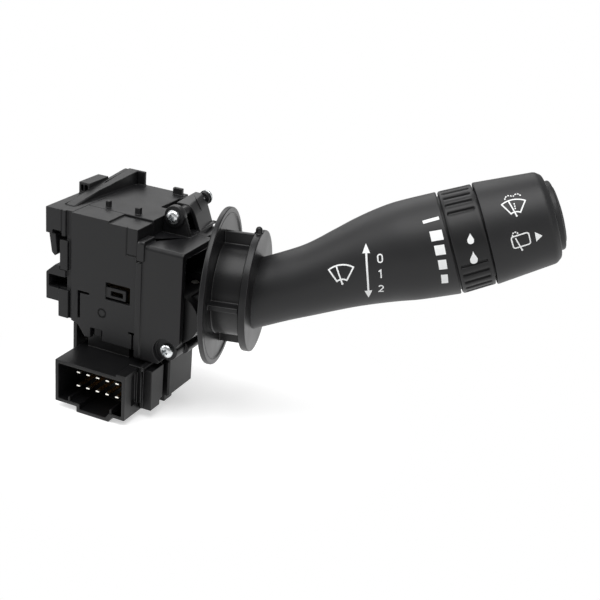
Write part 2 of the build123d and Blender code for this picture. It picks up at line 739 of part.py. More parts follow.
save("front_cover", front_cover())
save("rear_case", rear_case())
save("guide_frame", guide_frame())
save("lever_housing", lever_housing())
save("pivot_cover", pivot_cover())
save("housing_screws", housing_screws())
save("connector_shell", connector_shell())
save("upper_terminals", terminals(upper_row_z))
save("lower_terminals", terminals(lower_row_z))
save("contact_board", contact_board())
save("fixed_contacts", fixed_contacts())
save("terminal_cover", terminal_cover())
save("detent_plate", detent_plate())
save("detent_plunger", detent_plunger())
save("detent_spring", detent_spring())
save("rocker", rocker())
save("pull_pin", pull_pin())
save("contact_slider", contact_slider())
save("lever_core", lever_core())
save("collar", collar())
save("grip", grip())
save("head_carrier", head_carrier())
save("sensitivity_ring", sensitivity_ring())
save("ring_board", ring_board())
save("ring_contact", ring_contact())
save("end_sleeve", end_sleeve())
save("end_button", end_button())
save("button_spring", button_spring())
save("button_switch", button_switch())
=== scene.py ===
import math

import bmesh
import bpy
from bpy.props import FloatProperty, FloatVectorProperty, PointerProperty
from bpy.types import Operator, Panel, PropertyGroup
from mathutils import Matrix, Vector


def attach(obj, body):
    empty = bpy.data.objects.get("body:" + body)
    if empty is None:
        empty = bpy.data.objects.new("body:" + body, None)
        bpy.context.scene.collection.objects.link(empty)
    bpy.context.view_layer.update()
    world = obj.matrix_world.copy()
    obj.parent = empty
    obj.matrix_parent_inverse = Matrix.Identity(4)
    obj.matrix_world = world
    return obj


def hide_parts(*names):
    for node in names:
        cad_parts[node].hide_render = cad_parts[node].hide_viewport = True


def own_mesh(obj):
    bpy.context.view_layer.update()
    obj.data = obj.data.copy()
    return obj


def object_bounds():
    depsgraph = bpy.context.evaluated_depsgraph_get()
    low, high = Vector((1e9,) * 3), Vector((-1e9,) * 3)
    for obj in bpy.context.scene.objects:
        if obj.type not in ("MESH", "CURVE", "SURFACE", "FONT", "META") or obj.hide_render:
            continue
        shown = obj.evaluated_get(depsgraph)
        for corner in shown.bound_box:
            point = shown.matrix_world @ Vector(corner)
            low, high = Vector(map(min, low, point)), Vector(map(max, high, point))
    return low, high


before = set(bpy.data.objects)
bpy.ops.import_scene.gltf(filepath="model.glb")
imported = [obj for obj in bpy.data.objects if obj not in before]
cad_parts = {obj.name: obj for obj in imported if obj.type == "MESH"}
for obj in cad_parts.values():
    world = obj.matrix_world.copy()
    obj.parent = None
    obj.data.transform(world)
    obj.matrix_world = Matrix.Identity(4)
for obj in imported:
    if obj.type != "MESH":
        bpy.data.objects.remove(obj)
cad_low, cad_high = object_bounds()

bl_info = {
    "name": "Stalk Switch Dressing",
    "version": (1, 0, 0),
    "blender": (4, 5, 0),
    "location": "3D View > Sidebar > Stalk Switch",
    "description": "Builds the visible pieces, legends and finishes of a column stalk switch",
    "category": "Add Mesh",
}

MM = 0.001
TURNED_SIDES = 128              # sides of the round pieces of the stalk
WELD = 0.002 * MM               # points nearer than this are one point
FLAT_ANGLE = math.radians(0.8)  # faces nearer in slope than this are one face
EDGE_ANGLE = math.radians(38)   # edges sharper than this are rounded
BROAD_SCALE = 60.0              # texture scale of uneven gloss, per metre
FAINT_RELIEF = 0.01 * MM        # depth of drawn marks, pin marks and ink
LEGEND_EDGE = 0.45 * MM         # longest edge of a printed mark
LEGEND_DEPTH = 0.06 * MM        # thickness of a printed mark


# ---- settings

class StalkSizes(PropertyGroup):
    """Sizes of the stalk, measured along its axis from the select pivot."""

    pivot: FloatVectorProperty(
        name="Select pivot", description="Where the stalk axis meets the select axis",
        default=(0.032, -0.01183, -0.02993), subtype="TRANSLATION", unit="LENGTH")
    rise: FloatProperty(
        name="Rise", description="How far the stalk climbs",
        default=math.radians(22.75), subtype="ANGLE")
    yaw: FloatProperty(
        name="Yaw", description="How far the stalk leans away from the driver",
        default=math.radians(21.54), subtype="ANGLE")
    grip_end: FloatProperty(
        name="Grip end", description="Station where the grip meets the thumb ring",
        default=0.0932, unit="LENGTH")
    ring_start: FloatProperty(
        name="Ring start", description="First station of the thumb ring",
        default=0.0937, unit="LENGTH")
    ring_end: FloatProperty(
        name="Ring end", description="Last station of the thumb ring",
        default=0.1048, unit="LENGTH")
    sleeve_start: FloatProperty(
        name="Sleeve start", description="First station of the end sleeve",
        default=0.1054, unit="LENGTH")
    window_start: FloatProperty(
        name="Window start", description="Angle where the smooth window of the ring starts",
        default=math.radians(56.0), subtype="ANGLE")
    window_end: FloatProperty(
        name="Window end", description="Angle where the grooves of the ring start again",
        default=math.radians(108.0), subtype="ANGLE")
    print_tilt: FloatProperty(
        name="Print tilt", description="Turn of the symbols on the grip",
        default=math.radians(-11.5), subtype="ANGLE")
    collar_center: FloatVectorProperty(
        name="Collar centre", description="Middle of the collar's small disc",
        default=(0.0542, -0.0019, -0.0195), subtype="TRANSLATION", unit="LENGTH")
    collar_rise: FloatProperty(
        name="Collar rise", description="How far the collar's axis climbs",
        default=math.radians(0.4), subtype="ANGLE")
    collar_yaw: FloatProperty(
        name="Collar yaw", description="How far the collar's axis leans away from the driver",
        default=math.radians(13.5), subtype="ANGLE")
    groove_pitch: FloatProperty(
        name="Groove pitch", description="Angle between the grooves of the thumb ring",
        default=math.radians(11.5), subtype="ANGLE")
    legend_proud: FloatProperty(
        name="Legend height", description="How far printed legends stand over the surface",
        default=0.00004, unit="LENGTH")
    edge_radius: FloatProperty(
        name="Edge radius", description="Rounding of the moulded edges",
        default=0.00028, unit="LENGTH")


class StalkColours(PropertyGroup):
    """Colours of the finishes."""

    case_black: FloatVectorProperty(
        name="Case", description="Grained plastic of the switch case",
        default=(0.0085, 0.0085, 0.0092), subtype="COLOR", min=0, max=1)
    stalk_black: FloatVectorProperty(
        name="Stalk", description="Satin plastic of the grip",
        default=(0.0095, 0.0095, 0.0104), subtype="COLOR", min=0, max=1)
    ring_black: FloatVectorProperty(
        name="Ring", description="Plastic of the thumb ring",
        default=(0.0075, 0.0075, 0.0080), subtype="COLOR", min=0, max=1)
    legend_white: FloatVectorProperty(
        name="Legend", description="Printed legends",
        default=(0.86, 0.87, 0.87), subtype="COLOR", min=0, max=1)
    zinc: FloatVectorProperty(
        name="Zinc", description="Plated screws",
        default=(0.74, 0.76, 0.77), subtype="COLOR", min=0, max=1)
    brass: FloatVectorProperty(
        name="Brass", description="Pins and contact tracks",
        default=(0.70, 0.43, 0.17), subtype="COLOR", min=0, max=1)
    tin: FloatVectorProperty(
        name="Tin", description="Tinned pin tips",
        default=(0.88, 0.86, 0.80), subtype="COLOR", min=0, max=1)


def sizes():
    return bpy.context.scene.stalk_sizes


def colours():
    return bpy.context.scene.stalk_colours


# ---- materials

def new_material(name):
    """Material with its node tree and its shader."""
    made = bpy.data.materials.new(name)
    made.use_nodes = True
    shader = made.node_tree.nodes["Principled BSDF"]
    return made, made.node_tree, shader


def noise(tree, scale, detail, size=1.0):
    """Noise from 0 to 1 on object coordinates times scale, so it keeps its real size."""
    coordinates = tree.nodes.new("ShaderNodeTexCoord")
    mapping = tree.nodes.new("ShaderNodeMapping")
    mapping.inputs["Scale"].default_value = (scale, scale, scale)
    tree.links.new(coordinates.outputs["Object"], mapping.inputs["Vector"])
    node = tree.nodes.new("ShaderNodeTexNoise")
    node.inputs["Scale"].default_value = size
    node.inputs["Detail"].default_value = detail
    tree.links.new(mapping.outputs["Vector"], node.inputs["Vector"])
    return node.outputs["Fac"]


def spread(tree, value, low, high, start=0.3, end=0.7, smooth=False):
    """Map a value from start to end onto low to high; noise lies mostly from 0.3 to 0.7."""
    node = tree.nodes.new("ShaderNodeMapRange")
    for name, amount in (("From Min", start), ("From Max", end), ("To Min", low),
                         ("To Max", high)):
        node.inputs[name].default_value = amount
    if smooth:
        node.interpolation_type = "SMOOTHSTEP"
    tree.links.new(value, node.inputs["Value"])
    return node.outputs["Result"]


def shades(tree, value, dark, light):
    """Colour between dark and light by a texture value."""
    node = tree.nodes.new("ShaderNodeMix")
    node.data_type = "RGBA"
    node.inputs["A"].default_value = (*dark, 1)
    node.inputs["B"].default_value = (*light, 1)
    tree.links.new(value, node.inputs["Factor"])
    return node.outputs["Result"]


def bump(tree, shader, height, strength, distance):
    """Relief of a depth in metres on a shader, from a 0 to 1 height."""
    node = tree.nodes.new("ShaderNodeBump")
    node.inputs["Strength"].default_value = strength
    node.inputs["Distance"].default_value = distance
    tree.links.new(height, node.inputs["Height"])
    tree.links.new(node.outputs["Normal"], shader.inputs["Normal"])


def grained_plastic(name, colour, roughness, grain_mm, depth_mm, specular=0.34):
    """Moulded plastic with a fine spark-eroded grain and slightly uneven gloss."""
    made, tree, shader = new_material(name)
    shader.inputs["Specular IOR Level"].default_value = specular
    mottling = noise(tree, BROAD_SCALE, 4.0, 1.6)
    dark = [c * 0.86 for c in colour]
    light = [min(1.0, c * 1.16) for c in colour]
    tree.links.new(shades(tree, mottling, dark, light), shader.inputs["Base Color"])
    tree.links.new(spread(tree, mottling, roughness - 0.03, roughness + 0.04),
                   shader.inputs["Roughness"])
    bump(tree, shader, noise(tree, 1 / (grain_mm * MM), 1.0), 0.6, depth_mm * MM)
    return made


def plated_metal(name, colour, roughness):
    """Bright plating with faint drawn marks."""
    made, tree, shader = new_material(name)
    shader.inputs["Metallic"].default_value = 1.0
    marks = noise(tree, 2000.0, 3.0)
    dark = [c * 0.85 for c in colour]
    tree.links.new(shades(tree, marks, dark, colour), shader.inputs["Base Color"])
    tree.links.new(spread(tree, marks, roughness - 0.05, roughness + 0.06),
                   shader.inputs["Roughness"])
    bump(tree, shader, marks, 0.3, FAINT_RELIEF)
    return made


def pin_metal(name, shank, tip, tip_end):
    """Brass pins whose tips are tinned ahead of tip_end along Y."""
    made, tree, shader = new_material(name)
    shader.inputs["Metallic"].default_value = 1.0
    coordinates = tree.nodes.new("ShaderNodeTexCoord")
    axes = tree.nodes.new("ShaderNodeSeparateXYZ")
    tree.links.new(coordinates.outputs["Object"], axes.inputs["Vector"])
    past_tip = spread(tree, axes.outputs["Y"], 0.0, 1.0, tip_end - 0.1 * MM, tip_end + 0.5 * MM)
    tree.links.new(shades(tree, past_tip, tip, shank), shader.inputs["Base Color"])
    marks = noise(tree, 3000.0, 2.0)
    tree.links.new(spread(tree, marks, 0.24, 0.36), shader.inputs["Roughness"])
    bump(tree, shader, marks, 0.2, FAINT_RELIEF)
    return made


def printed_legend(name, colour):
    """Matt pad-printed ink, very slightly uneven."""
    made, tree, shader = new_material(name)
    marks = noise(tree, 2500.0, 2.0)
    dark = [c * 0.94 for c in colour]
    tree.links.new(shades(tree, marks, dark, colour), shader.inputs["Base Color"])
    shader.inputs["Roughness"].default_value = 0.55
    bump(tree, shader, marks, 0.15, FAINT_RELIEF)
    return made


# Finish, name, colour setting, share of it, roughness, grain size and depth in mm, and for the
# stalk its specular level
PLASTICS = (
    ("case", "case_grained_black", "case_black", 1.0, 0.42, 0.16, 0.014),
    ("housing", "housing_satin_black", "case_black", 1.0, 0.32, 0.10, 0.003),
    # connector share 0.6 is painted shade: a darker copy of the case black
    ("connector", "connector_black", "case_black", 0.6, 0.34, 0.12, 0.004),
    ("collar", "collar_black", "case_black", 0.85, 0.32, 0.10, 0.003),
    # bearing share 0.6, used on the rocker and detent plate, is painted shade: a darker copy of
    # the case black
    ("bearing", "bearing_black", "case_black", 0.6, 0.36, 0.20, 0.004),
    ("stalk", "stalk_satin_black", "stalk_black", 1.0, 0.47, 0.20, 0.012, 0.42),
    ("ring", "ring_black", "ring_black", 1.0, 0.40, 0.12, 0.004),
    ("core", "core_black", "stalk_black", 1.0, 0.45, 0.15, 0.006),
)
# finishes whose rounded edges get a lighter colour: a painted highlight along the edges
PAINTED_HIGHLIGHT_EDGES = ("case", "housing", "connector", "collar")
TINNED_TO = -27.8 * MM          # place along Y where the tinned tips of the pins end

FINISHES = {}


def make_finishes():
    """Fill FINISHES with the material of each finish."""
    c = colours()
    for finish, name, setting, share, *grain in PLASTICS:
        colour = [v * share for v in getattr(c, setting)]
        FINISHES[finish] = grained_plastic(name, colour, *grain)
    # edge colour lighter than the case black is a painted highlight; its lower roughness and
    # higher specular are the real gloss
    edge_highlight_colour = [v * 2.2 + 0.012 for v in c.case_black]
    for finish in PAINTED_HIGHLIGHT_EDGES:
        FINISHES[finish + "_edge"] = grained_plastic(finish + "_edge_rubbed", edge_highlight_colour,
                                                     0.27, 0.10, 0.001, 0.55)
    FINISHES["inner"] = grained_plastic("bearing_white", (0.55, 0.53, 0.48), 0.42, 0.2, 0.006)
    FINISHES["laminate"] = grained_plastic("board_laminate", (0.11, 0.075, 0.035), 0.5, 0.3, 0.01)
    FINISHES["zinc"] = plated_metal("zinc_plated_steel", c.zinc, 0.22)
    FINISHES["wire"] = plated_metal("spring_wire", (0.50, 0.51, 0.53), 0.3)
    FINISHES["brass"] = plated_metal("contact_brass", c.brass, 0.3)
    FINISHES["pins"] = pin_metal("tinned_pins", c.brass, c.tin, TINNED_TO)
    FINISHES["legend"] = printed_legend("legend_white", c.legend_white)


# ---- mesh building

def new_object(name, data):
    """Object in the scene's collection."""
    made = bpy.data.objects.new(name, data)
    bpy.context.scene.collection.objects.link(made)
    return made


def link_piece(name, mesh, body, finish):
    """Visible piece on a body, with its finish and the material slot it stands for."""
    piece = new_object(name, mesh)
    mesh.materials.clear()
    mesh.materials.append(FINISHES[finish])
    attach(piece, body)
    return piece


def smooth_by_angle(mesh, degrees_limit):
    for face in mesh.polygons:
        face.use_smooth = True
    mesh.set_sharp_from_angle(angle=math.radians(degrees_limit))


def mesh_from(bm, name):
    """Mesh of a finished bmesh, its normals outwards."""
    bmesh.ops.recalc_face_normals(bm, faces=bm.faces)
    mesh = bpy.data.meshes.new(name)
    bm.to_mesh(mesh)
    bm.free()
    return mesh


def join_rows(bm, rows):
    """Faces between each row of vertices and the next; a pole is one vertex repeated."""
    for first, second in zip(rows, rows[1:]):
        for step in range(len(first)):
            after = (step + 1) % len(first)
            corners = dict.fromkeys((first[step], first[after], second[after], second[step]))
            if len(corners) > 2:
                bm.faces.new(list(corners))


def lofted(rows, name):
    """Closed form through rows of as many (x, y, z) points in mm."""
    bm = bmesh.new()
    rings = [[bm.verts.new((x * MM, y * MM, z * MM)) for x, y, z in row] for row in rows]
    join_rows(bm, rings)
    bm.faces.new(rings[0])
    bm.faces.new(list(reversed(rings[-1])))
    return mesh_from(bm, name)


def between(first, low, second, high):
    """Closed form in mm between two (x, z) outlines of as many points, at two Y values."""
    return lofted([[(x, low, z) for x, z in first], [(x, high, z) for x, z in second]], "form")


def prism(points, low, high, axis="Y"):
    """Closed prism in mm: an outline across an axis, between two places along it.

    The outline is (x, z) for the Y axis, (y, z) for X and (x, y) for Z.
    """
    made = between(points, low, points, high)
    if axis != "Y":
        order = {"X": (1, 0, 2), "Z": (0, 2, 1)}[axis]
        for vertex in made.vertices:
            vertex.co = [vertex.co[place] for place in order]
        made.flip_normals()
    return made


def block(x0, x1, y0, y1, z0, z1):
    """Box in mm between two places on each axis."""
    return prism([(x0, z0), (x1, z0), (x1, z1), (x0, z1)], y0, y1)


def rod(x, z, y0, y1, radius, sides=32):
    """Round bar along Y, in mm."""
    turns = [2 * math.pi * step / sides for step in range(sides)]
    return prism([(x + radius * math.cos(a), z + radius * math.sin(a)) for a in turns], y0, y1)


def clean(bm):
    """Weld the points that coincide and join the faces that lie flat."""
    bmesh.ops.remove_doubles(bm, verts=bm.verts, dist=WELD)
    bmesh.ops.dissolve_limit(bm, angle_limit=FLAT_ANGLE, verts=bm.verts, edges=bm.edges)


def rounded_node(node, body, finish, share=1.0, segments=2, less=(), more=()):
    """A CAD node's own shape, less some spaces and with some forms, its edges rounded.

    Share is the radius of its edges as a share of the setting.
    """
    bm = bmesh.new()
    bm.from_mesh(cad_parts[node].data)
    clean(bm)
    if less or more:
        mesh = mesh_from(bm, node + "_blank")
        for cutter in less:
            mesh = combine(mesh, cutter, "DIFFERENCE")
        for form in more:
            mesh = combine(mesh, form, "UNION")
        bm = bmesh.new()
        bm.from_mesh(mesh)
        bpy.data.meshes.remove(mesh)
        clean(bm)
    sharp = [e for e in bm.edges if len(e.link_faces) == 2 and e.calc_face_angle(0) > EDGE_ANGLE]
    bmesh.ops.bevel(bm, geom=sharp, offset=sizes().edge_radius * share, offset_type="OFFSET",
                    segments=segments, profile=0.5, affect="EDGES", clamp_overlap=False,
                    miter_outer="ARC", material=1)
    bmesh.ops.remove_doubles(bm, verts=bm.verts, dist=WELD)
    for vert in bm.verts:
        for axis in range(3):
            vert.co[axis] = min(max(vert.co[axis], cad_low[axis]), cad_high[axis])
    mesh = mesh_from(bm, node + "_moulding")
    smooth_by_angle(mesh, 40)
    piece = link_piece(node + "_moulding", mesh, body, finish)
    # the rounded faces take the finish's edge material, which for these finishes is lighter: a
    # painted highlight
    mesh.materials.append(FINISHES.get(finish + "_edge", FINISHES[finish]))
    normals = piece.modifiers.new("weighted_normals", "WEIGHTED_NORMAL")
    normals.keep_sharp = True
    normals.weight = 90
    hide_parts(node)


def paint_node(node, finish):
    """Give a CAD node that keeps its own shape its finish."""
    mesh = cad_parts[node].data
    mesh.materials.clear()
    mesh.materials.append(FINISHES[finish])


def stalk_axes():
    """Stalk direction, its up side and its driver side."""
    s = sizes()
    along = Vector((math.cos(s.rise) * math.cos(s.yaw), math.sin(s.yaw),
                    math.sin(s.rise) * math.cos(s.yaw)))
    up = Vector((-math.sin(s.rise), 0, math.cos(s.rise)))
    return along, up, along.cross(up)


def stalk_matrix():
    """Turns (up, side, station) into the row frame."""
    along, up, side = stalk_axes()
    made = Matrix((up, side, along)).transposed().to_4x4()
    made.translation = Vector(sizes().pivot)
    return made


def turned_mesh(outline, sides):
    """Closed body of revolution from (radius, station) points; a radius of 0 is a pole."""
    bm = bmesh.new()
    angles = [2 * math.pi * step / sides for step in range(sides)]
    rings = []
    for radius, station in outline:
        if radius == 0:
            rings.append([bm.verts.new((0, 0, station))] * sides)
        else:
            rings.append([bm.verts.new((radius * math.cos(a), radius * math.sin(a), station))
                          for a in angles])
    join_rows(bm, rings + rings[:1])
    return bm


def stalk_piece(name, bm, smooth, body, finish, node):
    """Piece drawn along the stalk's axis, which stands for a CAD node."""
    mesh = mesh_from(bm, name)
    mesh.transform(stalk_matrix())
    smooth_by_angle(mesh, smooth)
    piece = link_piece(name, mesh, body, finish)
    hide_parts(node)


def corner_arc(before, corner, after, radius, steps=5):
    """Points of a rounded corner on an outline of (radius, station) points."""
    a, b, c = Vector(before), Vector(corner), Vector(after)
    to_a, to_c = (a - b).normalized(), (c - b).normalized()
    half = to_a.angle(to_c) / 2
    most = 0.49  # share of a side that a corner may take up
    reach = min(radius / math.tan(half), (a - b).length * most, (c - b).length * most)
    radius = reach * math.tan(half)
    middle = b + (to_a + to_c).normalized() * (radius / math.sin(half))
    start, end = b + to_a * reach - middle, b + to_c * reach - middle
    turn = start.angle_signed(end)
    points = []
    for step in range(steps + 1):
        angle = -turn * step / steps
        x = start.x * math.cos(angle) - start.y * math.sin(angle)
        y = start.x * math.sin(angle) + start.y * math.cos(angle)
        points.append((middle.x + x, middle.y + y))
    return points


def rounded_outline(points, radii):
    """Outline with each corner rounded by its radius; a radius of 0 keeps the corner."""
    made = []
    for index, corner in enumerate(points):
        radius = radii[index] * MM
        before, after = points[index - 1], points[(index + 1) % len(points)]
        if radius:
            made += corner_arc(before, corner, after, radius)
        else:
            made.append(corner)
    return made


def millimetres(points):
    return [(a * MM, b * MM) for a, b in points]


# ---- stalk shape

# Station, radius and lift of the grip's middle towards its up side, in mm
GRIP_SECTIONS = [
    (20.0, 11.4, 0.0),
    (36.3, 11.5, 0.0),
    (45.7, 12.0, 0.0),
    (57.2, 13.4, 0.7),
    (65.0, 14.7, 1.2),
    (72.7, 15.9, 1.3),
    (79.6, 16.8, 1.0),
    (93.2, 17.4, 0.1),
]


def through_sections(station, column):
    """Smooth value of a grip section column at a station in metres."""
    s = station / MM
    rows = GRIP_SECTIONS
    if s <= rows[0][0]:
        return rows[0][column] * MM
    if s >= rows[-1][0]:
        return rows[-1][column] * MM
    index = max(i for i in range(len(rows) - 1) if rows[i][0] <= s)

    def slope(i):
        low, high = max(i - 1, 0), min(i + 1, len(rows) - 1)
        return (rows[high][column] - rows[low][column]) / (rows[high][0] - rows[low][0])

    span = rows[index + 1][0] - rows[index][0]
    t = (s - rows[index][0]) / span
    start, end = rows[index][column], rows[index + 1][column]
    leaving, arriving = slope(index) * span, slope(index + 1) * span
    value = ((2 * t ** 3 - 3 * t ** 2 + 1) * start + (t ** 3 - 2 * t ** 2 + t) * leaving
             + (3 * t ** 2 - 2 * t ** 3) * end + (t ** 3 - t ** 2) * arriving)
    return value * MM


def grip_radius(station):
    return through_sections(station, 1)


def grip_lift(station):
    return through_sections(station, 2)


def collar_plane():
    """Point and normal just inside the collar's front face, in (up, side, station) terms."""
    back = stalk_matrix().inverted()
    s = sizes()
    normal = Vector((math.cos(s.collar_rise) * math.cos(s.collar_yaw),
                     math.cos(s.collar_rise) * math.sin(s.collar_yaw), math.sin(s.collar_rise)))
    from_middle = 0.9 * MM
    point = Vector(s.collar_center) + normal * from_middle
    return back @ point, back.to_3x3() @ normal


def slide_to_collar(vertex, start):
    """Slant the start of the grip so that it ends just inside the collar's front face."""
    point, normal = collar_plane()
    reach = 30.0 * MM
    share = 1 - (vertex.co.z - start) / reach
    if share <= 0:
        return
    across = normal.x * (vertex.co.x - point.x) + normal.y * (vertex.co.y - point.y)
    face = point.z - across / normal.z
    vertex.co.z += (face - start) * share


def ring_angles():
    """Angles round the ring with the depth of its grooves, 0 to 1."""
    s = sizes()
    edge = 2.3  # half the width of a groove, in degrees
    groove = ((-edge, 0), (-2.0, 0.1), (-1.5, 0.8), (-1.1, 1), (0, 1), (1.1, 1), (1.5, 0.8),
              (2.0, 0.1), (edge, 0))
    made = []
    angle = s.window_end
    while angle < 2 * math.pi + s.window_start:
        made += [(angle + math.radians(turn), depth) for turn, depth in groove]
        angle += s.groove_pitch
    smooth = 2 * math.pi + s.window_end - math.radians(edge) - made[-1][0]
    steps = 14
    made += [(made[-1][0] + smooth * step / steps, 0) for step in range(1, steps)]
    return made


def grooved_ring(outline):
    """Ring from (radius in mm, station in m, share of the grooves' depth) points."""
    bm = bmesh.new()
    angles = ring_angles()
    depth = 0.75
    rings = []
    for radius, station, share in outline:
        rings.append([bm.verts.new(((radius - depth * share * cut) * MM * math.cos(angle),
                                    (radius - depth * share * cut) * MM * math.sin(angle),
                                    station)) for angle, cut in angles])
    join_rows(bm, rings + rings[:1])
    return bm


def cross_cutter(depth):
    """Tapered cross that is cut into a screw head, drawn along -Z from the head's top."""
    top, foot, length, foot_length = 0.95, 0.35, 2.7, 0.8
    rows = []
    for width, reach, level in ((top, length, 0.6), (top * 0.8, length * 0.78, -0.4),
                                (foot, foot_length, -depth)):
        w, r = width / 2, reach / 2
        cross = [(r, -w), (r, w), (w, w), (w, r), (-w, r), (-w, w), (-r, w), (-r, -w), (-w, -w),
                 (-w, -r), (w, -r), (w, -w)]
        rows.append([(x, y, level) for x, y in cross])
    return lofted(rows, "cross_cutter")


def combine(mesh, other, operation):
    """Mesh joined with or less the space of another mesh; both are used up."""
    blank, tool = new_object("blank", mesh), new_object("tool", other)
    modifier = blank.modifiers.new("combine", "BOOLEAN")
    modifier.operation = operation
    modifier.solver = "EXACT"
    modifier.object = tool
    bpy.context.view_layer.update()
    made = bpy.data.meshes.new_from_object(
        blank.evaluated_get(bpy.context.evaluated_depsgraph_get()))
    for item, data in ((blank, mesh), (tool, other)):
        bpy.data.objects.remove(item)
        bpy.data.meshes.remove(data)
    return made


def screw_mesh(seat, side, length, turn):
    """Screw with its head on side (-1 or +1 along Y) of seat, its cross turned by degrees."""
    head_height, shank, slot_depth = 1.9, 1.28, 1.5
    outline = [(0, head_height), (1.2, 1.84), (1.9, 1.62), (2.35, 1.2), (2.55, 0.7), (2.58, 0.1),
               (2.5, 0), (shank, 0), (shank, -length), (0, -length)]
    blank = mesh_from(turned_mesh(millimetres(outline), 48), "screw_blank")
    cutter = cross_cutter(slot_depth)
    cutter.transform(Matrix.Translation((0, 0, head_height * MM)))
    made = combine(blank, cutter, "DIFFERENCE")
    place = Matrix.Translation(Vector(seat) * MM)
    lay = Matrix.Rotation(math.radians(90 if side < 0 else -90), 4, "X")
    made.transform(place @ lay @ Matrix.Rotation(math.radians(turn), 4, "Z"))
    return made


# ---- legends

def grip_skin(station):
    """Radius and rise of the grip's surface."""
    return grip_radius(station), grip_lift(station)


def ring_skin(station):
    """Radius and rise of the thumb ring's surface."""
    start, end = sizes().ring_start, sizes().ring_end
    share = (station - start) / (end - start)
    return (17.4 - 0.36 * share) * MM, 0.0


def sleeve_skin(station):
    """Radius and rise of the end sleeve's surface."""
    share = (station - sizes().sleeve_start) / (19.6 * MM)
    return (17.3 - 1.75 * share) * MM, 0.0


def ribbon(points, width):
    """Quads along a run of points in mm, with mitred corners."""
    sides = []
    for index, point in enumerate(points):
        before = Vector(points[max(index - 1, 0)])
        after = Vector(points[min(index + 1, len(points) - 1)])
        here = Vector(point)
        into = (here - before).normalized() if index else (after - here).normalized()
        out = (after - here).normalized() if index < len(points) - 1 else into
        normal = Vector((-(into + out).y, (into + out).x)).normalized()
        reach = width / 2 / max(normal.dot(Vector((-out.y, out.x))), 0.5)
        sides.append((here + normal * reach, here - normal * reach))
    return [[tuple(a), tuple(b), tuple(d), tuple(c)]
            for (a, b), (c, d) in zip(sides, sides[1:])]


def arc_points(center, radius, start, end, steps):
    """Points on an arc; angles in degrees from the +x direction."""
    turns = [math.radians(start + (end - start) * i / steps) for i in range(steps + 1)]
    return [(center[0] + radius * math.cos(a), center[1] + radius * math.sin(a)) for a in turns]


def box_shape(width, height):
    """Oblong on its middle."""
    x, y = width / 2, height / 2
    return [(-x, -y), (x, -y), (x, y), (-x, y)]


def disc_shape(center, radius):
    """Disc of 20 sides."""
    return arc_points(center, radius, 0, 342, 19)


def drop_shape(width, height):
    """Water drop with its point up."""
    radius = width / 2
    low = -height / 2 + radius
    bulb = arc_points((0, low), radius, 205, 335, 12)
    neck = [(radius * 0.98, low + radius * 0.35), (radius * 0.62, low + radius * 1.05),
            (radius * 0.26, low + radius * 1.65)]
    return bulb + neck + [(0, height / 2)] + [(-x, y) for x, y in reversed(neck)]


def windscreen(half_width, width):
    """Windscreen outline with a wiper arm across it."""
    center = (0.0, -half_width * 1.27)
    outer, inner = half_width * 2.02, half_width * 0.80
    top = arc_points(center, outer, 122, 58, 18)
    foot = arc_points(center, inner, 58, 122, 10)
    outline = top + foot + [top[0], top[1]]
    arm = [(-half_width * 0.42, half_width * 0.72), (half_width * 0.02, -half_width * 0.86)]
    return ribbon(outline, width) + ribbon(arm, width) + [disc_shape(arm[1], width * 0.72)]


def dashes(points, width, share=0.6):
    """Short strokes along a run of points."""
    made = []
    for a, b in zip(points, points[1:]):
        end = (a[0] + (b[0] - a[0]) * share, a[1] + (b[1] - a[1]) * share)
        made += ribbon([a, end], width)
    return made


def screen_spray():
    """Two jets of washer fluid over the windscreen and their stream up its middle."""
    left = arc_points((-1.1, 3.2), 1.3, 185, 20, 4)
    right = arc_points((1.5, 3.3), 1.25, 160, -5, 4)
    stream = [(0.15, -0.8), (0.15, 0.0), (0.15, 0.8), (0.15, 1.6)]
    return dashes(left, 0.42) + dashes(right, 0.42) + dashes(stream, 0.38)


def rear_window():
    """Rear window outline with a wiper arm hanging from it."""
    x, y, turn = 2.85, 1.95, 0.75
    corners = (((x - turn, y - turn), 90, 0), ((x - turn * 1.1, turn - y), 0, -90),
               ((turn * 1.1 - x, turn - y), -90, -180), ((turn - x, y - turn), 180, 90))
    outline = []
    for center, start, end in corners:
        outline += arc_points(center, turn, start, end, 5)
    outline += outline[:2]
    arm = [(-1.5, 1.3), (-0.35, -3.2)]
    return ribbon(outline, 0.42) + ribbon(arm, 0.42) + [disc_shape(arm[1], 0.32)]


def rear_spray():
    """Small jet over the rear window."""
    return dashes(arc_points((-1.3, 2.3), 0.95, 190, -10, 4), 0.4)


def double_arrow(height, width):
    """Vertical arrow with a head at each end."""
    top = height / 2
    head, half = 3.3, 1.25
    shaft = [(-width / 2, head - top), (width / 2, head - top), (width / 2, top - head),
             (-width / 2, top - head)]
    upper = [(0, top), (-half, top - head), (half, top - head)]
    lower = [(0, -top), (half, head - top), (-half, head - top)]
    return [shaft, upper, lower]


def digit_shape(digit, height):
    """Digit as strokes, standing on its middle."""
    y, width = height / 2, 0.42
    inset = y - width / 2
    if digit == "0":
        top = arc_points((0, inset - 0.72), 0.72, 180, 0, 10)
        foot = arc_points((0, 0.72 - inset), 0.72, 0, -180, 10)
        return ribbon(top + foot + top[:2], width)
    if digit == "1":
        return ribbon([(-0.62, inset - 0.55), (0.1, inset), (0.1, -y)], width)
    bowl = arc_points((0, inset - 0.68), 0.68, 165, -35, 12)
    return ribbon(bowl + [(-0.66, -inset), (0.82, -inset)], width)


def refine(bm, longest):
    """Split a flat mesh until no edge is longer than the limit."""
    bmesh.ops.triangulate(bm, faces=bm.faces[:])
    for _ in range(6):
        edges = [edge for edge in bm.edges if edge.calc_length() > longest]
        if not edges:
            return
        bmesh.ops.subdivide_edges(bm, edges=edges, cuts=1)
        bmesh.ops.triangulate(bm, faces=[face for face in bm.faces if len(face.verts) > 3])


